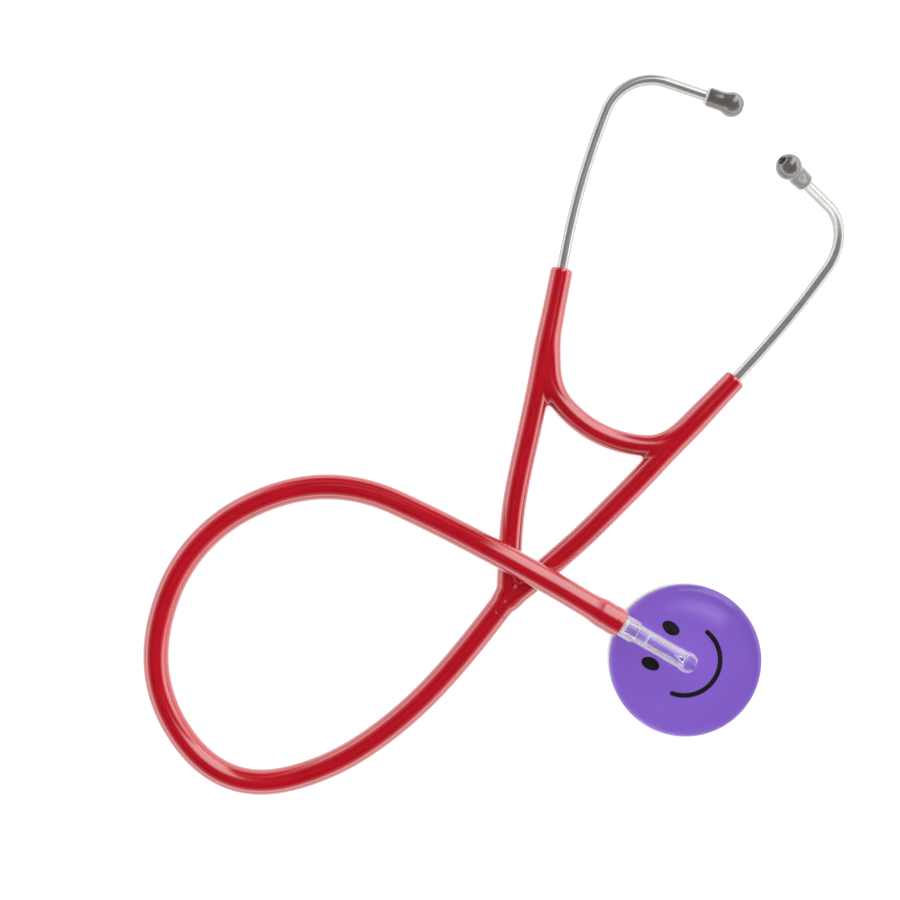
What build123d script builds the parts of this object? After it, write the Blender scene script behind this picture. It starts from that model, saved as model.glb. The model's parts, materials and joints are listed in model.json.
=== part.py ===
from build123d import *
from math import asin, cos, degrees, pi, radians, sin, tan
import os

# A stethoscope lying flat on its back: two steel ear tubes in a moulded PVC yoke with a leaf
# spring, one thick PVC tube laid in a loop, and a clear single-sided chestpiece with a picture disc.
#
# Frame: +Z up, z = 0 is the surface it lies on. +Y runs from the fork of the yoke to the ear tips
# and +X to the right seen from above. "Left" and "right" are as seen from above.
# Everything is laid out from the fork of the yoke, and moved to the origin as it is saved.

# ---- Driving dimensions, millimetres and degrees ----
fork_x, fork_y = -22.7, -96.9      # fork of the yoke, from the centre of the object's footprint

tube_od = 10.0                     # PVC tubing
tube_bore = 5.2
lie_z = tube_od / 2                # height of the tube and yoke centre lines

arm_od = 9.3                       # moulded lower arms of the yoke
arm_bore = 5.0
trunk_length = 10.0                # moulded trunk of the fork, up to where the tube begins
fork_split_y = 8.0                 # the arms are separate tubes above this line
hinge_x, hinge_y = 30.2, 84.0      # elbow of each arm, where the ear-tube sleeve swings
elbow_gap = 0.6                    # between the elbow ball and the sleeve's socket

# Corners of each arm's centre line below its elbow, (x outward, y) from the fork. The left arm
# is bowed out a little more than the right one. The two corners are rounded by arm_bends.
arm_corners = {
    "left": [(0, -4), (7.8, 12.5), (16.6, 35)],
    "right": [(0, -4), (7.3, 12.5), (15.8, 35)],
}
arm_bends = [160, 260]

bridge_od = 8.5                    # curved web between the elbows, round the leaf spring
bridge_radius = 45.0
bridge_low_y = 71.4
spring_thick, spring_wide = 0.9, 5.0
spring_edge_round = 0.4
spring_half_span = 27.0

splay = 16.3                       # each sleeve leans out from +Y by this angle
sleeve_foot_od, sleeve_mouth_od = 10.0, 9.1
sleeve_foot = 8.0                  # straight part of the sleeve round the elbow ball
sleeve_edge_round = 0.8
sleeve_length = {"left": 40.0, "right": 33.0}

ear_tube_od, ear_tube_bore = 4.2, 3.2
sleeve_bore = ear_tube_od + 0.1    # the ear tubes turn in their sleeves
shank_start = 7.0                  # lower end of the steel, from the elbow
shank_end = {"left": 50.0, "right": 33.5}
ear_turn = {"left": 0.0, "right": 35.0}   # how far each tube is turned up out of the flat
gentle_radius, gentle_bend = 300.0, 10.5
tight_radius, tight_bend = 19.0, 87.0
ball_reach = 27.2                  # from the end of the tight bend to the middle of the ear tip

tip_ball_d, tip_collar_d = 9.9, 7.6
tip_mouth = 10.0                   # collar's mouth, behind the middle of the ball
tip_bore_d, tip_hole_d = 5.6, 3.0
tip_hole_round = 0.6
ferrule_od, ferrule_flange_d = 5.5, 6.4
ferrule_gap, ferrule_flange = 0.1, 0.8    # flange clear of the collar's mouth, and its thickness
steel_end = 2.6                    # end of the steel, behind the middle of the ball
ferrule_clear = 0.4                # room past the end of the steel in the ear tip

head_d = 60.0                      # chestpiece head
head_foot_z, rim_z, plateau_z = 2.7, 10.0, 12.9
rim_bevel = 1.4
shoulder_z = (11.2, 11.9)          # at the rim's bevel, and at the foot of the plateau
plateau_foot_d, plateau_d = 40.4, 36.4
sound_hole_d = 3.4                 # straight up through the head into the stem's boss
stem_z = 16.4                      # stem
stem_od, stem_bore = 7.4, 4.3
bore_end = 1.2                     # closed end of the stem's bore, from the head's middle
cone_d, cone_reach = 3.1, 6.4      # solid cone that stands in that end, its base and its point
collar_od, collar_length, collar_round = 9.0, 6.8, 0.5
boss_d, boss_top, boss_round = 8.4, 20.9, 3.0
spigot_od, spigot_bore, spigot_length = 4.3, 3.0, 13.0
barb_od, barb_length = 4.9, 3.0
barb_starts = (4.0, 8.6)           # from the end of the collar
chest_angle = -2.6                 # direction of the stem axis, tube to head, from +X

seat_d = 57.6                      # film, spacer and diaphragm all sit in this bore
seat_clear = 0.1                   # round each of them
film_z, film_thick, ink_thick = 2.4, 0.25, 0.05
film_hole_d = 1.6
spacer_bore = 50.0
diaphragm_z = (0.3, 0.8)
lip_bore, ring_top = 53.0, 3.5

# Face on the film, in units of the head's radius: eyes up toward the tube, and a smile.
eye_place, eye_size = (0.354, 0.267), (0.118, 0.08)
smile_radius, smile_width = 0.47, 0.062
smile_from, smile_sweep = 100.0, 160.0

# Route of the tube's centre line from the fork to the stem, (x, y, z) from the fork.
# It leaves along the trunk, turns back in one loop, and humps over both arms.
tube_route = [
    (-1.8, -9.5, 5), (-6.7, -38, 5), (-17.5, -70.1, 5), (-32.3, -95.5, 5), (-53.9, -114.9, 5),
    (-77.2, -117.2, 5), (-102.3, -103.7, 5), (-116.8, -82.5, 5), (-121.9, -52.8, 5),
    (-114.3, -25.6, 5), (-95.1, -2.5, 5), (-71.1, 9.5, 5), (-42.1, 11, 9), (-14.1, 11.3, 17.7),
    (12.9, 10.7, 17.7), (27.8, 9.78, 16.4), (42.7, 9.1, 16.4),
]

sides = {"left": -1, "right": 1}


def save(name, *solids):
    """Move a sub-part from the fork to the row's origin and write it to its own STEP."""
    placed = [Pos(fork_x, fork_y, 0) * solid for solid in solids]
    shape = placed[0] if len(placed) == 1 else Compound(children=placed)
    export_step(shape, f"parts/{name}.step")


def swept(path, outer_d, bore_d=0.0):
    """A round bar or pipe along a path."""
    section = Circle(outer_d / 2)
    if bore_d:
        section -= Circle(bore_d / 2)
    start = Plane(path @ 0, z_dir=path % 0)
    return sweep(start * section, path=path)


def elbow(side):
    return Vector(side * hinge_x, hinge_y, lie_z)


# ---- Yoke ----

def arm_path(name, stretch=0.0):
    """Centre line of a lower arm, from inside the fork to the elbow and past it by stretch."""
    sx, sy = sin(radians(splay)) * stretch, cos(radians(splay)) * stretch
    points = arm_corners[name] + [(hinge_x + sx, hinge_y + sy)]
    return FilletPolyline(*[(sides[name] * x, y, lie_z) for x, y in points], radius=arm_bends)


def fork_zone(above):
    """Everything above or below the line where the two arms part."""
    size = 400
    y = fork_split_y + (size / 2 if above else -size / 2)
    return Pos(0, y, lie_z) * Box(size, size, size)


def trunk_path():
    """Centre line of the trunk, in line with the tube's first run."""
    heading = (Vector(*tube_route[1]) - Vector(*tube_route[0])).normalized()
    end = Vector(*tube_route[0])
    return Line(end - heading * trunk_length, end)


def yoke_fork():
    """Moulded Y where the two arms join the single tube."""
    trunk = trunk_path()
    crown = Pos(*(trunk @ 0))
    outer = swept(trunk, tube_od) + crown * Sphere(tube_od / 2)
    bores = swept(trunk, tube_bore) + crown * Sphere(tube_bore / 2)
    for name in sides:
        outer += swept(arm_path(name), arm_od) & fork_zone(above=False)
        bores += swept(arm_path(name), arm_bore)
    return outer - bores


def elbow_ball(name):
    return Pos(*elbow(sides[name])) * Sphere(arm_od / 2)


def yoke_arm(name):
    """Lower arm with the ball of the elbow at its upper end."""
    outer = swept(arm_path(name), arm_od) & fork_zone(above=True)
    bore = swept(arm_path(name, stretch=arm_od), arm_bore)
    return outer + elbow_ball(name) - bore - leaf_spring()


def bridge_arc(half_span):
    half_angle = degrees(asin(half_span / bridge_radius))
    return CenterArc((0, bridge_low_y + bridge_radius, lie_z), bridge_radius,
                     270 - half_angle, 2 * half_angle)


def leaf_spring():
    """Flat steel spring, on edge in the middle of the bridge."""
    path = bridge_arc(spring_half_span)
    section = RectangleRounded(spring_wide, spring_thick, spring_edge_round)
    return sweep(Plane(path @ 0, z_dir=path % 0, x_dir=(0, 0, 1)) * section, path=path)


def bridge():
    """Curved web between the elbows, moulded round the spring."""
    web = swept(bridge_arc(hinge_x), bridge_od)
    for name in sides:
        web -= swept(arm_path(name), arm_od) + elbow_ball(name)
    web -= leaf_spring()
    return max(web.solids(), key=lambda solid: solid.volume)


# ---- Sleeves, ear tubes and ear tips ----

def sleeve_plane(side):
    """At the elbow: local Y along the sleeve, local X inward to the other side."""
    lean = radians(splay)
    inward = (-side * cos(lean), sin(lean), 0)
    return Plane(elbow(side), x_dir=inward, z_dir=(0, 0, -side))


def sleeve(name):
    """Soft sleeve that grips the ear tube; its foot is a socket round the elbow ball."""
    side, length = sides[name], sleeve_length[name]
    foot, mouth = sleeve_foot_od / 2, sleeve_mouth_od / 2
    outline = Polyline((0, 0), (foot, 0), (foot, sleeve_foot), (mouth, length), (0, length),
                       close=True)
    body = revolve(make_face(outline), axis=Axis.Y)
    body = fillet(body.edges().sort_by(Axis.Y)[-1], sleeve_edge_round)
    body -= Sphere(arm_od / 2 + elbow_gap)
    body -= Pos(0, length / 2, 0) * Rot(90, 0, 0) * Cylinder(sleeve_bore / 2, length + 2)
    return sleeve_plane(side).location * body


def ear_tube_path(name):
    """Centre line of an ear tube in its own plane, and the point and direction of its end."""
    shank = Line((0, shank_start), (0, shank_end[name]))
    gentle = JernArc(shank @ 1, shank % 1, gentle_radius, -gentle_bend)
    tight = JernArc(gentle @ 1, gentle % 1, tight_radius, -tight_bend)
    reach = Line(tight @ 1, tight @ 1 + (tight % 1) * (ball_reach - steel_end))
    return Wire([shank, gentle, tight, reach])


def ear_location(name):
    """Placement of everything that is bent and turned with an ear tube."""
    return sleeve_plane(sides[name]).location * Rot(0, ear_turn[name], 0)


def ear_tube(name):
    return ear_location(name) * swept(ear_tube_path(name), ear_tube_od, ear_tube_bore)


def tip_location(name):
    """Middle of the ear tip's ball, with local Z out of its opening."""
    path = ear_tube_path(name)
    heading = path % 1
    middle = (path @ 1) + heading * steel_end
    return ear_location(name) * Plane(middle, z_dir=heading).location


def ring(outer_d, bore_d, low, high):
    """Plain ring or disc about local Z."""
    body = Pos(0, 0, (low + high) / 2) * Cylinder(outer_d / 2, high - low)
    if bore_d:
        body -= Pos(0, 0, (low + high) / 2) * Cylinder(bore_d / 2, high - low + 1)
    return body


def tip_ferrule(name):
    """Nylon ferrule pressed on the end of the steel, with a flange at the ear tip's mouth."""
    flange_top = -tip_mouth - ferrule_gap
    body = ring(ferrule_od, ear_tube_od, flange_top, -steel_end)
    body += ring(ferrule_flange_d, ear_tube_od, flange_top - ferrule_flange, flange_top)
    return tip_location(name) * body


def ear_tip(name):
    """Soft mushroom tip: a ball with a sound hole, on a collar round the ferrule."""
    body = Sphere(tip_ball_d / 2)
    body += ring(tip_collar_d, 0, -tip_mouth, 0)
    body -= ring(tip_bore_d, 0, -tip_mouth - 1, -steel_end + ferrule_clear)
    body -= ring(tip_hole_d, 0, -steel_end, tip_ball_d)
    mouth_edges = body.edges().filter_by(GeomType.CIRCLE).sort_by(Axis.Z)
    return tip_location(name) * fillet(mouth_edges[-1], tip_hole_round)


# ---- Chestpiece: local Z up from the surface, local X from the head's middle to the tube ----

stem_reach = head_d / 2 - 0.15     # from the head's middle to the end of the collar


def chest_location():
    """The collar ends where the tube's route ends."""
    lean = radians(chest_angle)
    x, y, _ = tube_route[-1]
    return Location((x + stem_reach * cos(lean), y + stem_reach * sin(lean), 0),
                    (0, 0, 180 + chest_angle))


def chest_head():
    """Clear acrylic head: bevelled rim, nearly flat shoulder and a low round plateau."""
    r, seat = head_d / 2, seat_d / 2 - seat_clear
    outline = Polyline(
        (0, head_foot_z), (seat, head_foot_z), (seat, ring_top), (r, ring_top), (r, rim_z),
        (r - rim_bevel, shoulder_z[0]), (plateau_foot_d / 2, shoulder_z[1]),
        (plateau_d / 2, plateau_z), (0, plateau_z), close=True)
    body = revolve(make_face(Plane.XZ * outline), axis=Axis.Z)
    return body - ring(sound_hole_d, 0, 0, plateau_z + 1)


def stem_bar(outer_d, low, high):
    """Round bar about the stem axis, from low to high along local X."""
    return Pos((low + high) / 2, 0, stem_z) * Rot(0, 90, 0) * Cylinder(outer_d / 2, high - low)


def stem_cone(low_d, high_d, low, high):
    """Cone about the stem axis, with its diameters at low and at high along local X."""
    place = Pos((low + high) / 2, 0, stem_z) * Rot(0, 90, 0)
    return place * Cone(low_d / 2, high_d / 2, high - low)


def stem_bore_space():
    """Bore of the stem, narrow in the spigot, with a solid cone left standing in its end."""
    turn = stem_reach - 1
    space = stem_bar(stem_bore, bore_end, turn) + stem_bar(spigot_bore, turn, 2 * stem_reach)
    return space - stem_cone(cone_d, 0.2, bore_end, cone_reach)


def chest_stem():
    """Clear stem: boss over the sound hole, collar at the tube, and a barbed spigot in it."""
    collar = stem_bar(collar_od, stem_reach - collar_length, stem_reach)
    boss = ring(boss_d, 0, plateau_z, boss_top)
    body = stem_bar(stem_od, 0, stem_reach)
    body += fillet(collar.edges().filter_by(GeomType.CIRCLE), collar_round)
    body += fillet(boss.edges().group_by(Axis.Z)[-1], boss_round)
    body += stem_bar(spigot_od, stem_reach - 1, stem_reach + spigot_length)
    for start in barb_starts:
        body += stem_cone(barb_od, spigot_od, stem_reach + start, stem_reach + start + barb_length)
    above_plateau = Pos(0, 0, plateau_z + head_d / 2) * Box(3 * head_d, head_d, head_d)
    sound_hole = ring(sound_hole_d, 0, plateau_z - 1, stem_z + sound_hole_d / 2)
    return (body & above_plateau) - stem_bore_space() - sound_hole


def picture_disc():
    """Printed film under the acrylic, with a small hole for the sound."""
    return ring(seat_d - 2 * seat_clear, film_hole_d, film_z, film_z + film_thick)


def face_print():
    """Ink on top of the film: two eyes and a smile of constant width."""
    r = head_d / 2
    level = Plane((0, 0, film_z + film_thick))
    eyes = [Pos(eye_place[0] * r, side * eye_place[1] * r)
            * Ellipse(eye_size[0] * r, eye_size[1] * r) for side in sides.values()]
    smile = SlotArc(CenterArc((0, 0), smile_radius * r, smile_from, smile_sweep), smile_width * r)
    return [extrude(level * mark, ink_thick) for mark in [*eyes, smile]]


def spacer_ring():
    return ring(seat_d - 2 * seat_clear, spacer_bore, diaphragm_z[1], film_z)


def diaphragm():
    return ring(seat_d - 2 * seat_clear, 0, *diaphragm_z)


def retaining_ring():
    """Snap ring round the diaphragm, with a lip under its edge."""
    return ring(head_d, seat_d, 0, ring_top) + ring(head_d, lip_bore, 0, diaphragm_z[0])


# ---- Tube ----

def route_radii(points):
    """Largest tangent arc at each corner: 0.45 of its shorter run, over tan of half the turn."""
    radii = []
    for before, here, after in zip(points, points[1:], points[2:]):
        first, second = Vector(*here) - Vector(*before), Vector(*after) - Vector(*here)
        half_turn = radians(first.get_angle(second)) / 2
        radii.append(0.45 * min(first.length, second.length) / tan(half_turn))
    return radii


def main_tube():
    radii = route_radii(tube_route)
    path = FilletPolyline(*tube_route, radius=radii)
    tube = swept(path, tube_od, tube_bore)
    section = pi / 4 * (tube_od**2 - tube_bore**2)
    print("tube radii", [round(radius) for radius in radii])
    print("tube length", round(path.length, 1), "volume", round(tube.volume),
          "section x length", round(section * path.length))
    return tube


os.makedirs("parts", exist_ok=True)

save("yoke_fork", yoke_fork())
save("bridge", bridge())
save("leaf_spring", leaf_spring())
save("main_tube", main_tube())
for name in sides:
    save(f"yoke_arm_{name}", yoke_arm(name))
    save(f"sleeve_{name}", sleeve(name))
    save(f"ear_tube_{name}", ear_tube(name))
    save(f"tip_ferrule_{name}", tip_ferrule(name))
    save(f"ear_tip_{name}", ear_tip(name))

chest = chest_location()
save("chest_head", chest * chest_head())
save("chest_stem", chest * chest_stem())
save("picture_disc", chest * picture_disc())
save("face_print", *[chest * mark for mark in face_print()])
save("spacer_ring", chest * spacer_ring())
save("diaphragm", chest * diaphragm())
save("retaining_ring", chest * retaining_ring())
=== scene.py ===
"""Looks of the stethoscope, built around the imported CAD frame. Shapes are worked out in
millimetres in the row frame, and turned into metres when their meshes are made."""

import json
import math

import bpy
import bmesh
import numpy as np
from mathutils import Matrix, Vector


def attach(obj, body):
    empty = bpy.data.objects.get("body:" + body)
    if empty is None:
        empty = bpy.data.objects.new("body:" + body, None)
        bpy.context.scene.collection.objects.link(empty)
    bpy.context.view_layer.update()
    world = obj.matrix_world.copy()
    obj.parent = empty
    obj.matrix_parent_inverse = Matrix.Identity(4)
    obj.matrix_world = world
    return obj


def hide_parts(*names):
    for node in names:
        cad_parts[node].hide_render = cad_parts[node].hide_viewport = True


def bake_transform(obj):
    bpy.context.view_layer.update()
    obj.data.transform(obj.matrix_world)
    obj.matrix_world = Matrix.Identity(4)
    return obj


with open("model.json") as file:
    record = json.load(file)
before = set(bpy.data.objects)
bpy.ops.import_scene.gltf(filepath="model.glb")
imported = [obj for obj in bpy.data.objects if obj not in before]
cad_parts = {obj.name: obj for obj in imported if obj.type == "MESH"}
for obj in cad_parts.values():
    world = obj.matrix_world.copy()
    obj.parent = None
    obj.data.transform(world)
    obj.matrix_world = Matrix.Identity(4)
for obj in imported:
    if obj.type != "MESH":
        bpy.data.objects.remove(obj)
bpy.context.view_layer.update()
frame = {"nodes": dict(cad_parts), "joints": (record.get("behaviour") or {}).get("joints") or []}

MM = 0.001
joints = {joint["name"]: joint for joint in frame["joints"]}
SIDES = {"left": -1, "right": 1}

# ---- Sizes shared with the CAD, in millimetres and radians ----
LIE_Z = 5.0                          # centre lines of the tube and yoke
TUBE_R, TUBE_BORE_R = 5.0, 2.6
ARM_R, BRIDGE_R = 4.65, 4.25
ELBOW_X, ELBOW_Y = 30.2, 84.0        # from the fork of the yoke
BRIDGE_ARC, BRIDGE_LOW = 45.0, 71.4
SPLAY = math.radians(16.3)
SLEEVE_LENGTH = {"left": 40.0, "right": 33.0}
STEEL_R, STEEL_BORE_R = 2.1, 1.6
SHANK = {"left": (7.0, 50.0), "right": (7.0, 33.5)}
EAR_TURN = {"left": 0.0, "right": math.radians(35)}
GENTLE, TIGHT = (300.0, math.radians(10.5)), (19.0, math.radians(87))
BALL_REACH, STEEL_END = 27.2, 2.6
STEM_Z, STEM_REACH = 16.4, 29.85     # stem's height, and from the head's middle to the tube

left_elbow = np.array(joints["left_arm_swing"]["pos_m"]) / MM
FORK = left_elbow + (ELBOW_X, -ELBOW_Y, -LIE_Z)


def from_fork(x, y, z=LIE_Z):
    """A point given from the fork, in millimetres in the row frame."""
    return FORK + (x, y, z)


def metres(points):
    return [tuple(float(c) * MM for c in p) for p in points]


# ---- Camera: straight above, with the headset leaning right as it lies on the table ----
ROLL = math.radians(27.5)
VIEW_MIDDLE = (-47.6, 38.4)          # from the fork
VIEW_HEIGHT, VIEW_WIDTH = 690.0, 355.3

camera_data = bpy.data.cameras.new("camera")
camera_data.sensor_width = 36
camera_data.lens = camera_data.sensor_width * VIEW_HEIGHT / VIEW_WIDTH
camera_data.clip_start = 0.01
camera = bpy.data.objects.new("camera", camera_data)
camera.location = metres([from_fork(*VIEW_MIDDLE, LIE_Z + VIEW_HEIGHT)])[0]
camera.rotation_euler = (0, 0, ROLL)
bpy.context.scene.collection.objects.link(camera)
bpy.context.scene.camera = camera


# ---- Mesh tools ----

def add_object(name, data, material):
    data.materials.append(material)
    obj = bpy.data.objects.new(name, data)
    bpy.context.scene.collection.objects.link(obj)
    return obj


def loops_mesh(name, loops, material):
    """A closed ring-like skin: each loop of points is joined to the next, and the last to
    the first."""
    sides = len(loops[0])
    faces = []
    for i in range(len(loops)):
        here, there = i * sides, (i + 1) % len(loops) * sides
        for j in range(sides):
            k = (j + 1) % sides
            faces.append((here + j, here + k, there + k, there + j))
    data = bpy.data.meshes.new(name)
    data.from_pydata(metres(np.vstack(loops)), [], faces)
    data.shade_smooth()
    data.set_sharp_from_angle(angle=math.radians(40))
    return add_object(name, data, material)


def tube_rings(path, radii, sides):
    """Rings round a path, one radius for each of its points. The rings don't twist."""
    tangents = np.gradient(path, axis=0)
    tangents /= np.linalg.norm(tangents, axis=1)[:, None]
    across = np.cross(tangents[0], (0.0, 0.0, 1.0))
    turns = np.linspace(0, 2 * math.pi, sides, endpoint=False)[:, None]
    rings = []
    for point, tangent, radius in zip(path, tangents, radii):
        across = across - tangent * (across @ tangent)
        across /= np.linalg.norm(across)
        other = np.cross(tangent, across)
        rings.append(point + (np.cos(turns) * across + np.sin(turns) * other) * radius)
    return rings


def rounded_rim(ring, middle, way, edge, steps=4):
    """Rings that round the outer edge of a pipe's end over to its flat rim."""
    spokes = (ring - middle) / np.linalg.norm(ring - middle, axis=1)[:, None]
    rims = []
    for k in range(steps + 1):
        bend = math.pi / 2 * k / steps
        rims.append(ring - spokes * edge * (1 - math.cos(bend)) - way * edge * (1 - math.sin(bend)))
    return rims


def pipe(name, path, outer, inner, material, sides=64, edge=0.3):
    """A pipe along a path with its outer radius at each point, its bore, and rounded rims."""
    path = np.asarray(path, float)
    lead, trail = path[0] - path[1], path[-1] - path[-2]
    lead, trail = lead / np.linalg.norm(lead), trail / np.linalg.norm(trail)
    rings = tube_rings(path, outer, sides)
    first = rounded_rim(rings[0], path[0], lead, edge)[::-1]
    last = rounded_rim(rings[-1], path[-1], trail, edge)
    bore = tube_rings(path, [inner] * len(path), sides)
    return loops_mesh(name, first + rings[1:-1] + last + bore[::-1], material)


def lathe(name, outline, material, place, steps=128):
    """A ring-shaped solid about local Z from a closed (r, z) outline, put at a placement."""
    turns = np.linspace(0, 2 * math.pi, steps, endpoint=False)
    turn, origin = np.array(place.to_3x3()), np.array(place.translation)
    loops = []
    for r, z in outline:
        loop = np.stack([r * np.cos(turns), r * np.sin(turns), np.full(steps, z)], axis=1)
        loops.append(loop @ turn.T + origin)
    return loops_mesh(name, loops, material)


# ---- Distance fields, for mouldings whose shapes run into each other ----

def soft_min(a, b, k):
    """The nearer of two distances, with the corner between them rounded by k."""
    h = np.maximum(k - np.abs(a - b), 0) / k
    return np.minimum(a, b) - h * h * k / 4


def soft_max(a, b, k):
    return -soft_min(-a, -b, k)


def bell(x, width):
    return np.exp(-(x / width) ** 2)


def slopes(field, points, step=0.02):
    """Gradient of a distance field at the points."""
    columns = []
    for shift in np.eye(3) * step:
        columns.append((field(points + shift) - field(points - shift)) / (2 * step))
    return np.stack(columns, axis=1)


def surface_net(field, low, high, step):
    """Vertices and quads where the field is zero: one vertex in each cell that the surface
    crosses, moved onto it along the field's slope. The grid's lines are multiples of step."""
    start = [math.floor(a / step) for a in low]
    count = [math.ceil(b / step) - a + 1 for a, b in zip(start, high)]
    axes = [(a + np.arange(n)) * step for a, n in zip(start, count)]
    flat = np.stack(np.meshgrid(*axes[1:], indexing="ij"), axis=-1).reshape(-1, 2)
    layers = [field(np.column_stack([np.full(len(flat), x), flat])) for x in axes[0]]
    value = np.stack(layers).reshape(count)
    inside = value < 0
    cells = tuple(n - 1 for n in count)

    def corner(array, at):
        return array[tuple(slice(c, c + n) for c, n in zip(at, cells))]

    total, hits = np.zeros(cells + (3,)), np.zeros(cells)
    ends = [(i, j, k) for i in (0, 1) for j in (0, 1) for k in (0, 1)]
    for axis in range(3):
        for a in (end for end in ends if not end[axis]):
            b = tuple(1 if n == axis else c for n, c in enumerate(a))
            near, far = corner(value, a), corner(value, b)
            crossed = corner(inside, a) != corner(inside, b)
            t = np.where(crossed, near / np.where(crossed, near - far, 1), 0)
            for n in range(3):
                total[..., n] += crossed * (t if n == axis else a[n])
            hits += crossed
    used = hits > 0
    index = np.full(cells, -1)
    index[used] = np.arange(int(used.sum()))
    base = np.stack(np.nonzero(used), axis=1) + np.array(start)
    vertices = (base + total[used] / hits[used][:, None]) * step
    faces = []
    for axis in range(3):
        u, v = (axis + 1) % 3, (axis + 2) % 3
        first = inside[tuple(slice(0, -1) if n == axis else slice(None) for n in range(3))]
        second = inside[tuple(slice(1, None) if n == axis else slice(None) for n in range(3))]
        spots = np.stack(np.nonzero(first != second), axis=1)
        spots = spots[(spots[:, u] > 0) & (spots[:, v] > 0)
                      & (spots[:, u] < cells[u]) & (spots[:, v] < cells[v])]
        around = []
        for du, dv in ((1, 1), (0, 1), (0, 0), (1, 0)):
            cell = spots.copy()
            cell[:, u] -= du
            cell[:, v] -= dv
            around.append(index[tuple(cell.T)])
        quads = np.stack(around, axis=1)
        outward = first[tuple(spots.T)]
        quads[~outward] = quads[~outward][:, ::-1]
        faces.append(quads)
    for _ in range(3):
        slope = slopes(field, vertices)
        size = np.maximum((slope * slope).sum(1), 0.05)
        vertices = vertices - slope * (field(vertices) / size)[:, None]
    return vertices, np.vstack(faces)


def moulding(name, field, low, high, step, material, cuts=(), place=None):
    """A mesh of a distance field, cut flat by planes (a point, and the way that is cut off).
    Its normals come from the field. place turns the field's frame into the row frame."""
    vertices, faces = surface_net(field, low, high, step)
    mesh = bmesh.new()
    made = [mesh.verts.new(v) for v in vertices]
    for face in faces:
        mesh.faces.new([made[i] for i in face])
    for point, away in cuts:
        parts = list(mesh.verts) + list(mesh.edges) + list(mesh.faces)
        cut = bmesh.ops.bisect_plane(mesh, geom=parts, plane_co=point, plane_no=away,
                                     clear_outer=True)
        rim = [e for e in cut["geom_cut"] if isinstance(e, bmesh.types.BMEdge)]
        bmesh.ops.holes_fill(mesh, edges=rim, sides=0)
    bmesh.ops.recalc_face_normals(mesh, faces=mesh.faces)
    data = bpy.data.meshes.new(name)
    mesh.to_mesh(data)
    mesh.free()
    data.shade_smooth()
    normals = slopes(field, np.array([v.co for v in data.vertices]))
    normals /= np.maximum(np.linalg.norm(normals, axis=1), 1e-9)[:, None]
    normals = normals[[loop.vertex_index for loop in data.loops]]
    for face in data.polygons:
        if len(face.vertices) > 4:
            normals[list(face.loop_indices)] = np.array(face.normal)
    data.transform(Matrix.Diagonal((MM, MM, MM, 1)))
    data.normals_split_custom_set([tuple(map(float, n)) for n in normals])
    if place:
        data.transform(place)
    return add_object(name, data, material)


# ---- Materials ----

def node_maker(tree):
    """A function that adds a node to the tree, with values for its inputs."""
    def node(kind, **values):
        made = tree.nodes.new(kind)
        for key, value in values.items():
            made.inputs[key.replace("_", " ")].default_value = value
        return made
    return node


def new_material(name):
    """A node material, with its shader, a function that adds a node, and one that links."""
    material = bpy.data.materials.new(name)
    material.use_nodes = True
    tree = material.node_tree
    return material, tree.nodes["Principled BSDF"], node_maker(tree), tree.links.new


def noise(node, link, scale, detail=3.0):
    """Noise in the piece's own coordinates, with scale features per metre."""
    where = node("ShaderNodeTexCoord")
    made = node("ShaderNodeTexNoise", Scale=scale, Detail=detail)
    link(where.outputs["Object"], made.inputs["Vector"])
    return made.outputs["Fac"]


def tint(node, link, source, dark, light, shader):
    """Base colour that wanders between two colours."""
    ramp = node("ShaderNodeValToRGB")
    first, last = ramp.color_ramp.elements
    first.position, first.color = 0.3, (*dark, 1)
    last.position, last.color = 0.7, (*light, 1)
    link(source, ramp.inputs["Fac"])
    link(ramp.outputs["Color"], shader.inputs["Base Color"])


def gloss(node, link, source, low, high, shader):
    """Roughness that wanders between two values."""
    spread = node("ShaderNodeMapRange", From_Min=0.3, From_Max=0.7, To_Min=low, To_Max=high)
    link(source, spread.inputs["Value"])
    link(spread.outputs["Result"], shader.inputs["Roughness"])


def bump(node, link, source, strength, distance, shader):
    """Fine relief in the surface."""
    made = node("ShaderNodeBump", Strength=strength, Distance=distance)
    link(source, made.inputs["Height"])
    link(made.outputs["Normal"], shader.inputs["Normal"])


def red_pvc():
    """Dipped glossy PVC: deep red, faintly mottled, with a slow ripple in its gloss."""
    material, shader, node, link = new_material("red_pvc")
    tint(node, link, noise(node, link, 70), (0.50, 0.0035, 0.013), (0.58, 0.0055, 0.019), shader)
    gloss(node, link, noise(node, link, 900), 0.13, 0.21, shader)
    bump(node, link, noise(node, link, 300, 2.0), 0.10, 0.0003, shader)
    shader.inputs["IOR"].default_value = 1.5
    shader.inputs["Coat Weight"].default_value = 1.0
    shader.inputs["Coat IOR"].default_value = 1.85
    shader.inputs["Coat Roughness"].default_value = 0.06
    return material


def bright_steel():
    """Drawn and polished tube, a little uneven in its polish."""
    material, shader, node, link = new_material("bright_steel")
    tint(node, link, noise(node, link, 160), (0.56, 0.55, 0.535), (0.64, 0.63, 0.61), shader)
    gloss(node, link, noise(node, link, 900), 0.17, 0.22, shader)
    shader.inputs["Metallic"].default_value = 0.65
    shader.inputs["Specular Tint"].default_value = (0.45, 0.44, 0.43, 1)
    return material


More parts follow.
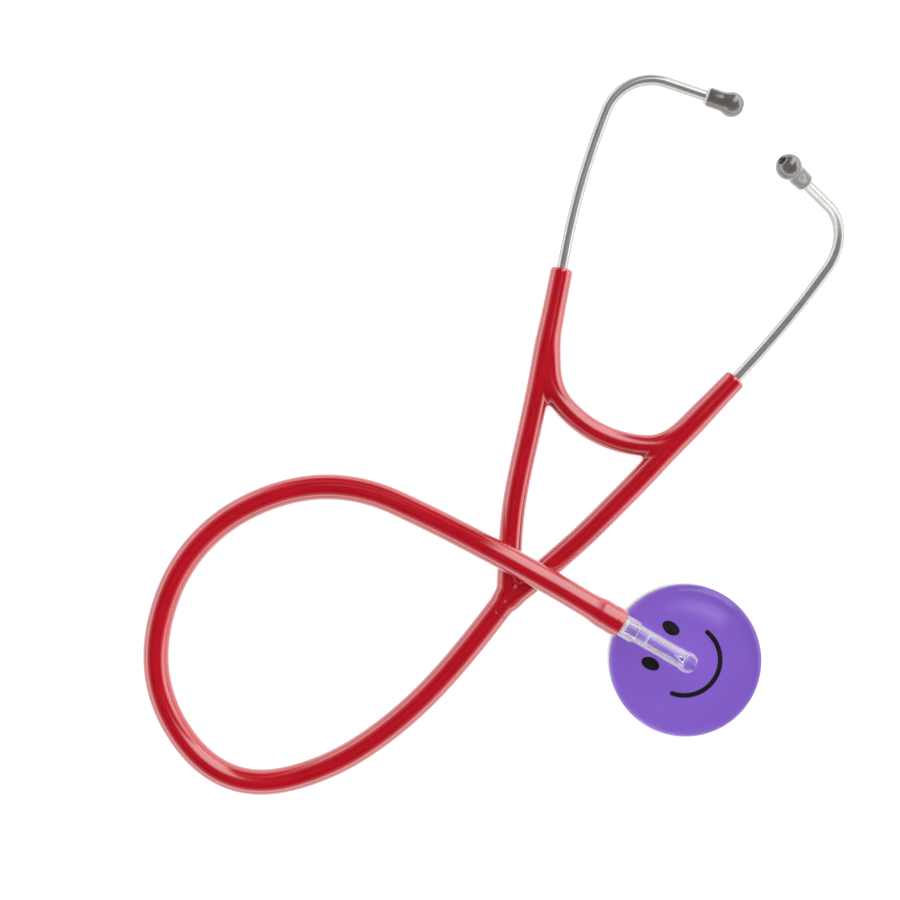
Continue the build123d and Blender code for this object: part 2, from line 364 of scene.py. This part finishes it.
def clear_acrylic(name, colour, clear, rough):
    """Acrylic that lets the lamps through to what lies under it. clear is the share of light
    that it passes on unscattered."""
    material, shader, node, link = new_material(name)
    gloss(node, link, noise(node, link, 400), rough, rough + 0.02, shader)
    shader.inputs["Base Color"].default_value = (*colour, 1)
    shader.inputs["IOR"].default_value = 1.49
    shader.inputs["Transmission Weight"].default_value = clear
    lamps_pass = node("ShaderNodeBsdfTransparent", Color=(0.96, 0.96, 0.965, 1))
    light_path, mix = node("ShaderNodeLightPath"), node("ShaderNodeMixShader")
    link(light_path.outputs["Is Shadow Ray"], mix.inputs[0])
    link(shader.outputs["BSDF"], mix.inputs[1])
    link(lamps_pass.outputs["BSDF"], mix.inputs[2])
    link(mix.outputs["Shader"], material.node_tree.nodes["Material Output"].inputs["Surface"])
    return material


def purple_film():
    """Even purple print, matt under the acrylic."""
    material, shader, node, link = new_material("purple_film")
    tint(node, link, noise(node, link, 45), (0.325, 0.152, 0.80), (0.345, 0.162, 0.84), shader)
    gloss(node, link, noise(node, link, 1200), 0.4, 0.5, shader)
    return material


def plain(name, dark, light, smooth, rough, grain=1600):
    """A solid moulded or printed surface with fine grain."""
    material, shader, node, link = new_material(name)
    tint(node, link, noise(node, link, 250), dark, light, shader)
    gloss(node, link, noise(node, link, 1100), smooth, rough, shader)
    bump(node, link, noise(node, link, grain), 0.08, 0.0001, shader)
    return material


def soft_grey():
    """Soft translucent PVC of the ear tips, dark with bright wet-looking highlights."""
    material, shader, node, link = new_material("grey_soft_pvc")
    tint(node, link, noise(node, link, 260), (0.17, 0.152, 0.14), (0.23, 0.208, 0.195), shader)
    gloss(node, link, noise(node, link, 800), 0.08, 0.16, shader)
    bump(node, link, noise(node, link, 700, 2.0), 0.08, 0.0002, shader)
    shader.inputs["IOR"].default_value = 1.5
    shader.inputs["Transmission Weight"].default_value = 0.35
    shader.inputs["Coat Weight"].default_value = 1.0
    shader.inputs["Coat IOR"].default_value = 1.8
    shader.inputs["Coat Roughness"].default_value = 0.04
    return material


RED = red_pvc()
STEEL = bright_steel()
ACRYLIC = clear_acrylic("clear_acrylic", (0.985, 0.988, 0.99), 1.0, 0.0)
# Milky grey-white acrylic: painted sheen, standing in for the white light that the stem's clear
# walls refract
PAINTED_SHEEN_ACRYLIC = clear_acrylic("painted_sheen_acrylic", (0.90, 0.90, 0.86), 0.62, 0.12)
GREY = soft_grey()
NYLON = plain("white_nylon", (0.70, 0.70, 0.68), (0.80, 0.80, 0.78), 0.30, 0.42)
CAD_FINISH = {
    "picture_disc": purple_film(),
    "face_print": plain("black_ink", (0.003, 0.003, 0.004), (0.007, 0.007, 0.008), 0.4, 0.5),
    "spacer_ring": NYLON, "tip_ferrule_left": NYLON, "tip_ferrule_right": NYLON,
    "diaphragm": plain("diaphragm_sheet", (0.30, 0.17, 0.62), (0.34, 0.20, 0.68), 0.2, 0.3),
    "retaining_ring": ACRYLIC,
    "leaf_spring": plain("spring_steel", (0.35, 0.35, 0.37), (0.45, 0.45, 0.47), 0.25, 0.4),
}
for node_name, finish in CAD_FINISH.items():
    data = frame["nodes"][node_name].data
    data.materials.clear()
    data.materials.append(finish)


# ---- Main tube ----
# The CAD tube's route, with its hump over the arms let down until it all but rests on them.
TUBE_ROUTE = [
    (-1.8, -9.5, 5), (-6.7, -38, 5), (-17.5, -70.1, 5), (-32.3, -95.5, 5), (-53.9, -114.9, 5),
    (-77.2, -117.2, 5), (-102.3, -103.7, 5), (-116.8, -82.5, 5), (-121.9, -52.8, 5),
    (-114.3, -25.6, 5), (-95.1, -2.5, 5), (-71.1, 9.5, 5), (-42.1, 11, 8.5), (-14.1, 11.3, 15.2),
    (12.9, 10.7, 15.2), (27.8, 9.78, 16.4), (42.7, 9.1, 16.4),
]
trunk_heading = np.subtract(TUBE_ROUTE[1], TUBE_ROUTE[0])
trunk_heading = trunk_heading / np.linalg.norm(trunk_heading)
STRETCH, STRETCH_TO, STRETCH_SOFT = 0.65, 11.5, 1.3     # of the tube's end over the spigot
BULGE, BULGES_AT, BULGE_WIDTH = 0.16, (3.4, 8.6), 1.5   # over its barbs
FINE_LENGTH, RINGS, FINE_RINGS = 18, 420, 40


def nurbs_line(points):
    """Points along the NURBS spline of a route that is given from the fork."""
    curve = bpy.data.curves.new("route", "CURVE")
    curve.dimensions = "3D"
    spline = curve.splines.new("NURBS")
    spline.points.add(len(points) - 1)
    for point, place in zip(spline.points, points):
        point.co = (*from_fork(*place), 1)
    spline.order_u = 3
    spline.use_endpoint_u = True
    spline.resolution_u = 24
    holder = bpy.data.objects.new("route", curve)
    bpy.context.scene.collection.objects.link(holder)
    line = bpy.data.meshes.new_from_object(holder)
    found = np.array([v.co for v in line.vertices])
    bpy.data.objects.remove(holder)
    bpy.data.meshes.remove(line)
    return found


def tube_radius(to_end):
    """Outer radius against the distance from the stem: the barbs stretch and bulge the tube."""
    stretched = STRETCH / (1 + math.exp((to_end - STRETCH_TO) / STRETCH_SOFT))
    return TUBE_R + stretched + BULGE * sum(bell(to_end - at, BULGE_WIDTH) for at in BULGES_AT)


def main_tube():
    line = nurbs_line(TUBE_ROUTE)
    along = np.append(0, np.cumsum(np.linalg.norm(np.diff(line, axis=0), axis=1)))
    length, fine_from = along[-1], along[-1] - FINE_LENGTH
    stations = np.append(np.linspace(0, fine_from, RINGS),
                         np.linspace(fine_from, length, FINE_RINGS)[1:])
    path = np.stack([np.interp(stations, along, line[:, axis]) for axis in range(3)], axis=1)
    outer = [tube_radius(length - s) for s in stations]
    tube = pipe("tube_main", path, outer, TUBE_BORE_R, RED)
    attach(tube, "yoke")
    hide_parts("main_tube")
    metres(path[:1])[0]
    metres(line)


main_tube()


# ---- Yoke moulding: lower arms, bridge and sleeves in one soft piece ----
# It is cut below each elbow, and the sleeve past each cut is a mesh of its own.
ELBOW_CUT = 9.0                      # below the elbow, along the sleeve's line
BEND_FROM, BEND_TO = -6.5, 8.0
BORE_FROM = 6.5                      # the sleeve's bore begins this far past the elbow
BORE_GAP, MOUTH_ROUND = 0.1, 1.6     # round the steel, and at the sleeve's mouth
NET_STEP = 0.5
CURVE_IN, CURVE_TOP, CURVE_SOFT = 0.16, 25.0, 6.0   # the arms curve in below CURVE_TOP
# How each arm bows out from its line: (how far, distance up the yoke, width of the bow)
BOWS = {"left": [(0.8, 36, 24)], "right": [(0.3, 62, 16), (-0.35, 22, 12)]}
SWELL, SWELL_AT, SWELL_WIDTH = 0.32, 8, 10          # at the elbow, along the sleeve
TAPER, TAPER_AT, TAPER_SOFT = 0.22, 24, 5           # towards the sleeve's mouth
JOIN_ARMS, JOIN_TRUNK = 3.0, 1.8
ARM_FOOT, TRUNK_TOP, END_ROUND = 6, 10, 6.0         # where the limbs end inside one another
BRIDGE_OFFSET = 1.1                                 # of the middle of its arc, to the right
BRIDGE_TOP, BRIDGE_ROUND = 6, 5.0                   # its ends, above the elbows
CROTCH, WEB, WEB_LEAN = 2.0, 6.1, 2.4               # under and over the bridge; wider on the left


def limb_reach(y, name):
    """How far out the centre line of an arm and its sleeve is, at a distance y up the yoke."""
    sleeve_line = ELBOW_X + (y - ELBOW_Y) * math.tan(SPLAY)
    into_fork = CURVE_IN * CURVE_SOFT * np.logaddexp(0, (CURVE_TOP - y) / CURVE_SOFT)
    bow = sum(far * bell(y - middle, width) for far, middle, width in BOWS[name])
    return sleeve_line - into_fork + bow


def limb_outline(p, name):
    """Distance across an arm and its sleeve, its radius there, and distance up the sleeve.
    The elbow swells a little, and the sleeve tapers to its mouth."""
    out = SIDES[name] * p[:, 0]
    lean = limb_reach(p[:, 1] + 0.5, name) - limb_reach(p[:, 1] - 0.5, name)
    across = np.abs(out - limb_reach(p[:, 1], name)) / np.sqrt(1 + lean**2)
    up_sleeve = (out - ELBOW_X) * math.sin(SPLAY) + (p[:, 1] - ELBOW_Y) * math.cos(SPLAY)
    swell = SWELL * bell(up_sleeve - SWELL_AT, SWELL_WIDTH)
    taper = TAPER / (1 + np.exp((TAPER_AT - up_sleeve) / TAPER_SOFT))
    return across, ARM_R + swell - taper, up_sleeve


def join(a, b, k):
    """Two flat outlines run together, with the corner between them filled by k. Each is a
    distance and a half thickness."""
    share = np.clip(0.5 + 0.5 * (b[0] - a[0]) / k, 0, 1)
    distance = b[0] + (a[0] - b[0]) * share - k * share * (1 - share)
    return distance, b[1] + (a[1] - b[1]) * share


def yoke_field(points):
    """The yoke's outline seen from above, made as thick as its limbs and round at its edges."""
    p = points - FORK
    height = p[:, 2] - LIE_Z
    limbs = {name: limb_outline(p, name) for name in SIDES}
    arms = [(soft_max(across - radius, -ARM_FOOT - p[:, 1], END_ROUND), radius)
            for across, radius, _ in limbs.values()]
    from_end = p[:, :2] - TUBE_ROUTE[0][:2]
    along = from_end @ trunk_heading[:2]
    beside = np.abs(from_end @ (trunk_heading[1], -trunk_heading[0]))
    trunk = soft_max(beside - TUBE_R, -TRUNK_TOP - along, END_ROUND), TUBE_R
    out = np.hypot(p[:, 0] - BRIDGE_OFFSET, p[:, 1] - BRIDGE_LOW - BRIDGE_ARC)
    bridge = soft_max(np.abs(out - BRIDGE_ARC) - BRIDGE_R, np.abs(p[:, 0]) - ELBOW_X,
                      BRIDGE_ROUND)
    bridge = soft_max(bridge, p[:, 1] - ELBOW_Y - BRIDGE_TOP, BRIDGE_ROUND), BRIDGE_R
    over = 0.5 + 0.5 * np.tanh((BRIDGE_ARC - out) / 4)
    web = CROTCH + (WEB - WEB_LEAN * np.tanh(p[:, 0] / 8)) * over
    outline, thick = join(join(join(*arms, JOIN_ARMS), trunk, JOIN_TRUNK), bridge, web)
    shape = np.hypot(np.maximum(outline + thick, 0), height) - thick
    for name, (across, _, up_sleeve) in limbs.items():
        shape = soft_max(shape, up_sleeve - SLEEVE_LENGTH[name], MOUTH_ROUND)
        bore = np.maximum(np.hypot(across, height) - STEEL_R - BORE_GAP, BORE_FROM - up_sleeve)
        shape = soft_max(shape, -bore, 0.5)
    return shape


def yoke():
    cuts = {}
    for name, side in SIDES.items():
        upward = np.array([side * math.sin(SPLAY), math.cos(SPLAY), 0])
        cuts[name] = (from_fork(side * ELBOW_X, ELBOW_Y) - upward * ELBOW_CUT, upward)
    trunk_cut = (from_fork(*TUBE_ROUTE[0]), trunk_heading)
    middle = moulding("yoke_moulding", yoke_field, from_fork(-36, -14, -1), from_fork(36, 86, 11),
                      NET_STEP, RED, [trunk_cut, *cuts.values()])
    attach(middle, "yoke")
    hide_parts("yoke_fork", "yoke_arm_left", "yoke_arm_right", "bridge")
    for name, side in SIDES.items():
        point, upward = cuts[name]
        corners = from_fork(side * 12, 64, -1), from_fork(side * 48, 126, 11)
        sleeve = moulding(f"sleeve_moulding_{name}", yoke_field, np.minimum(*corners),
                          np.maximum(*corners), NET_STEP, RED, [(point, -upward)])
        elbow = from_fork(side * ELBOW_X, ELBOW_Y)
        start, end = metres([elbow + upward * BEND_FROM, elbow + upward * BEND_TO])
        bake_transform(sleeve)
        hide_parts(f"sleeve_{name}")


yoke()


# ---- Ear tubes and ear tips ----

def ear_axes(name):
    """Elbow, the way along the sleeve, and the way the ear tube bends, in the row frame."""
    side, turn = SIDES[name], EAR_TURN[name]
    along = np.array([side * math.sin(SPLAY), math.cos(SPLAY), 0])
    inward = np.array([-side * math.cos(SPLAY), math.sin(SPLAY), 0])
    inward = inward * math.cos(turn) + np.array([0, 0, math.sin(turn)])
    return from_fork(side * ELBOW_X, ELBOW_Y), along, inward


def ear_tube_line(name):
    """The bent centre line as (inward, along) points, and the way it points at its end."""
    points = [np.array([0, y]) for y in np.linspace(*SHANK[name], 12)]
    heading = 0.0
    for (radius, bend), count in ((GENTLE, 24), (TIGHT, 40)):
        middle = points[-1] + radius * np.array([math.cos(heading), -math.sin(heading)])
        for angle in np.linspace(heading, heading + bend, count + 1)[1:]:
            points.append(middle - radius * np.array([math.cos(angle), -math.sin(angle)]))
        heading += bend
    forward = np.array([math.sin(heading), math.cos(heading)])
    end = points[-1]
    points += [end + forward * d for d in np.linspace(0, BALL_REACH - STEEL_END, 10)[1:]]
    return np.array(points), forward


def ear_tube(name):
    elbow, along, inward = ear_axes(name)
    line, _ = ear_tube_line(name)
    path = elbow + line[:, :1] * inward + line[:, 1:] * along
    tube = pipe(f"ear_tube_steel_{name}", path, [STEEL_R] * len(path), STEEL_BORE_R, STEEL,
                sides=48, edge=0.2)
    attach(tube, f"{name}_ear")
    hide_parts(f"ear_tube_{name}")


def tip_outline():
    """(r, z) outline of an ear tip: collar flowing into the ball, sound hole and socket."""
    ball, collar, mouth, socket, hole = 4.95, 3.8, -10.0, 2.8, 1.5
    points = [(socket, mouth), (collar - 0.3, mouth), (collar - 0.09, mouth + 0.09),
              (collar, mouth + 0.3), (collar, -4.8), (collar + 0.05, -4.0), (collar + 0.2, -3.2)]
    for angle in np.radians(np.arange(-30, 66, 5)):
        points.append((ball * math.cos(angle), ball * math.sin(angle)))
    return points + [(1.78, 4.47), (1.58, 4.28), (hole, 4.0), (hole, -2.2), (socket, -2.2)]


def ear_tip(name):
    elbow, along, inward = ear_axes(name)
    line, forward = ear_tube_line(name)
    middle = line[-1] + forward * STEEL_END
    outward = Vector(inward * forward[0] + along * forward[1])
    turn = outward.to_track_quat("Z", "Y").to_matrix().to_4x4()
    place = Matrix.Translation(elbow + inward * middle[0] + along * middle[1]) @ turn
    tip = lathe(f"ear_tip_soft_{name}", tip_outline(), GREY, place)
    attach(tip, f"{name}_tip")
    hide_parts(f"ear_tip_{name}")


for side_name in SIDES:
    ear_tube(side_name)
    ear_tip(side_name)


# ---- Clear chestpiece head and stem, fused in one piece of acrylic ----
# Local X runs from the head's middle to the tube, local Z up.
PLATEAU_Z, BOSS_TOP = 12.9, 20.9
STEM_R, COLLAR_R, BOSS_R = 3.7, 4.5, 4.2
BORE_R, BORE_END, SPIGOT_R, SPIGOT_BORE_R = 2.15, 0.8, 2.15, 1.5
CONE_R, CONE_REACH = 1.55, 6.4
COLLAR_LENGTH, SPIGOT_LENGTH = 6.8, 13.0
BARBS, BARB_R, BARB_LENGTH = (4.0, 8.6), 2.45, 3.0
SHOULDER_Z, SHOULDER_FROM, SHOULDER_TO = 11.7, 15.0, 25.5
RIM_FALL, FALL_FROM, RIM_ROUND = 0.07, 20, 3.0
HEAD_R, HEAD_FOOT, SEAT_R, LEDGE_Z = 30.0, 2.76, 28.7, 3.55
# Where the acrylic is made milky grey-white, a painted sheen for the white light its walls refract:
# steep sides outside WALL_R, the collar's end, a step in the bore
STEEP, WALL_R, PAINTED_SHEEN_END, STEP_X, STEP_HALF = 0.75, 2.9, 2.2, 18.4, 0.4
CLEAR_STEP = 0.35


def head_field(r, z):
    """Round plateau that falls smoothly to a nearly flat shoulder, and a rounded rim. Its foot
    stands just clear of the film and ring."""
    t = np.clip((r - SHOULDER_FROM) / (SHOULDER_TO - SHOULDER_FROM), 0, 1)
    drop = (PLATEAU_Z - SHOULDER_Z) * t * t * (3 - 2 * t) + RIM_FALL * np.maximum(r - FALL_FROM, 0)
    above = soft_max(z - PLATEAU_Z + drop, r - HEAD_R, RIM_ROUND)
    below = np.minimum(LEDGE_Z - z, np.maximum(HEAD_FOOT - z, r - SEAT_R))
    return soft_max(above, below, 0.5)


def bar(across, radius, along, low, high, k):
    """A round bar with rounded ends: distance from its axis, and place along it."""
    return soft_max(soft_max(across - radius, low - along, k), along - high, k)


def clear_field(p):
    """The acrylic head with its boss, stem, collar, spigot and bore. The drop from the bore to
    the film is left out, for it would show as a white blot that the real one doesn't have."""
    x, z = p[:, 0], p[:, 2]
    r, across = np.hypot(x, p[:, 1]), np.hypot(p[:, 1], z - STEM_Z)
    head = head_field(r, z)
    stem = bar(across, STEM_R, x, 0, STEM_REACH, 0.8)
    collar = bar(across, COLLAR_R, x, STEM_REACH - COLLAR_LENGTH, STEM_REACH, 1.2)
    boss = bar(r, BOSS_R, z, PLATEAU_Z - 2, BOSS_TOP, 6.0)
    spigot = bar(across, SPIGOT_R, x, STEM_REACH - 1, STEM_REACH + SPIGOT_LENGTH, 0.4)
    for start in BARBS:
        along = x - STEM_REACH - start
        taper = BARB_R + (SPIGOT_R - BARB_R) * along / BARB_LENGTH
        spigot = np.minimum(spigot, bar(across, taper, along, 0, BARB_LENGTH, 0.3))
    shape = soft_min(soft_min(stem, boss, 0.9), soft_min(collar, spigot, 0.3), 0.6)
    shape = soft_min(shape, head, 0.9)
    cone = across - CONE_R * np.clip((CONE_REACH - x) / (CONE_REACH - BORE_END), 0, 1)
    bore = soft_max(bar(across, BORE_R, x, BORE_END, STEM_REACH - 1, 0.4), -cone, 0.2)
    bore = np.minimum(bore, bar(across, SPIGOT_BORE_R, x, STEM_REACH - 2, 60, 0.3))
    return soft_max(shape, -bore, 0.35)


def gets_painted_sheen(x, y, z, up):
    """Whether a place on the acrylic gets the milky grey-white finish, a painted sheen for the
    white
    light that clear walls refract: the stem's and boss's steep sides, the end of the collar and
    the step in the bore."""
    across = math.hypot(y, z - STEM_Z)
    if z < PLATEAU_Z + 0.3 or x > STEM_REACH + 0.2:
        return False
    steep = abs(up) < STEEP and across > WALL_R and math.hypot(x, y) > WALL_R
    step = abs(x - STEP_X) < STEP_HALF and across < WALL_R
    return steep or step or STEM_REACH - x < PAINTED_SHEEN_END


def chestpiece():
    swivel = joints["chestpiece_swivel"]
    axis = Vector(swivel["axis"])
    middle = Vector(swivel["pos_m"]) + axis * STEM_REACH * MM
    place = Matrix.Translation((middle.x, middle.y, 0)) @ Matrix.Rotation(
        math.atan2(-axis.y, -axis.x), 4, "Z")
    clear = moulding("chest_clear", clear_field, (-31, -31, 2.2), (43.6, 31, 21.5),
                     CLEAR_STEP, ACRYLIC, place=place)
    # The painted-sheen acrylic goes on the steep walls, the collar's end and the step in the bore
    clear.data.materials.append(PAINTED_SHEEN_ACRYLIC)
    to_head = place.inverted()
    for face in clear.data.polygons:
        face.material_index = int(gets_painted_sheen(*(to_head @ face.center / MM), face.normal.z))
    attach(clear, "chestpiece")
    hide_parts("chest_head", "chest_stem")


chestpiece()


# ---- Floor and light ----

FLOOR_GREY, FLOOR_GLOW = 0.35, 0.85
FLOOR_HALF, FLOOR_Z = 2.5, -0.0002   # in metres


def floor():
    """A pale floor that glows a little, so that it is as white as the photo's ground."""
    material, shader, _, _ = new_material("pale_floor")
    shader.inputs["Base Color"].default_value = (FLOOR_GREY, FLOOR_GREY, FLOOR_GREY, 1)
    shader.inputs["Roughness"].default_value = 0.7
    shader.inputs["Emission Color"].default_value = (1, 1, 1, 1)
    shader.inputs["Emission Strength"].default_value = FLOOR_GLOW
    corners = [(x * FLOOR_HALF, y * FLOOR_HALF, FLOOR_Z)
               for x, y in ((-1, -1), (1, -1), (1, 1), (-1, 1))]
    data = bpy.data.meshes.new("floor")
    data.from_pydata(corners, [], [(0, 1, 2, 3)])
    add_object("floor", data, material)


# Height of the direction, and share of the light
HORIZON_BAND = [(0.0, 1.0), (0.10, 1.0), (0.26, 0.5), (0.42, 0.17), (0.57, 0.1), (0.72, 0.01),
                (1.0, 0.0)]
HORIZON_LIGHT, GAP_LIGHT, SOFTBOX_LIGHT, BESIDE_LIGHT = 2.4, 0.1, 2.4, 2.3
GAP_WAY, SOFTBOX_WAY, BESIDE_WAY = (-0.43, 0.903, 0), (0.216, 0.976, 0), (0.79, 0.61, 0)
SOFTBOX_RIGHT = (0.976, -0.216, 0)
LAMP_SIZE, LAMP_WATTS, LAMP_HEIGHT = 1.2, 9.5, 1400


def studio():
    """Light from a bright band low down all round but for a gap, one tall softbox beyond the
    ear tips, and a wider one beside it. Overhead is dark."""
    world = bpy.data.worlds.new("studio")
    world.use_nodes = True
    node, link = node_maker(world.node_tree), world.node_tree.links.new
    where = node("ShaderNodeTexCoord").outputs["Generated"]

    def turned(way, low, high, first, last):
        """A level that goes from first to last as the direction turns towards a way."""
        along = node("ShaderNodeVectorMath")
        along.operation = "DOT_PRODUCT"
        along.inputs[1].default_value = way
        link(where, along.inputs[0])
        level = node("ShaderNodeMapRange", From_Min=low, From_Max=high, To_Min=first, To_Max=last)
        level.interpolation_type = "SMOOTHSTEP"
        link(along.outputs["Value"], level.inputs["Value"])
        return level.outputs["Result"]

    def maths(operation, first, *others):
        for other in others:
            step = node("ShaderNodeMath")
            step.operation = operation
            link(first, step.inputs[0])
            link(other, step.inputs[1])
            first = step.outputs[0]
        return first

    height, band = node("ShaderNodeSeparateXYZ"), node("ShaderNodeValToRGB")
    link(where, height.inputs[0])
    link(height.outputs["Z"], band.inputs["Fac"])
    stops = band.color_ramp.elements
    stops[0].position, stops[1].position = HORIZON_BAND[0][0], HORIZON_BAND[-1][0]
    for position, _ in HORIZON_BAND[1:-1]:
        stops.new(position)
    for stop, (_, share) in zip(stops, HORIZON_BAND):
        stop.color = (share, share, share, 1)
    low_band = maths("MULTIPLY", band.outputs["Color"],
                     turned(GAP_WAY, 0.80, 0.93, HORIZON_LIGHT, GAP_LIGHT))
    softbox = maths("MULTIPLY", turned(SOFTBOX_WAY, 0.12, 0.58, 0, SOFTBOX_LIGHT),
                    turned(SOFTBOX_RIGHT, -0.40, -0.20, 0, 1),
                    turned(SOFTBOX_RIGHT, 0.14, 0.26, 1, 0))
    beside = turned(BESIDE_WAY, 0.68, 0.98, 0, BESIDE_LIGHT)
    background = world.node_tree.nodes["Background"]
    background.inputs["Color"].default_value = (1, 1, 1, 1)
    link(maths("MAXIMUM", low_band, softbox, beside), background.inputs["Strength"])
    bpy.context.scene.world = world


def overhead_fill():
    """Soft light from overhead that leaves no highlight of its own."""
    lamp = bpy.data.lights.new("overhead_fill", "AREA")
    lamp.size = LAMP_SIZE
    lamp.energy = LAMP_WATTS
    obj = bpy.data.objects.new("overhead_fill", lamp)
    obj.location = metres([from_fork(*VIEW_MIDDLE, LAMP_HEIGHT)])[0]
    obj.visible_camera = obj.visible_glossy = obj.visible_transmission = False
    bpy.context.scene.collection.objects.link(obj)


floor()
studio()
overhead_fill()
bpy.context.scene.view_settings.view_transform = "Standard"
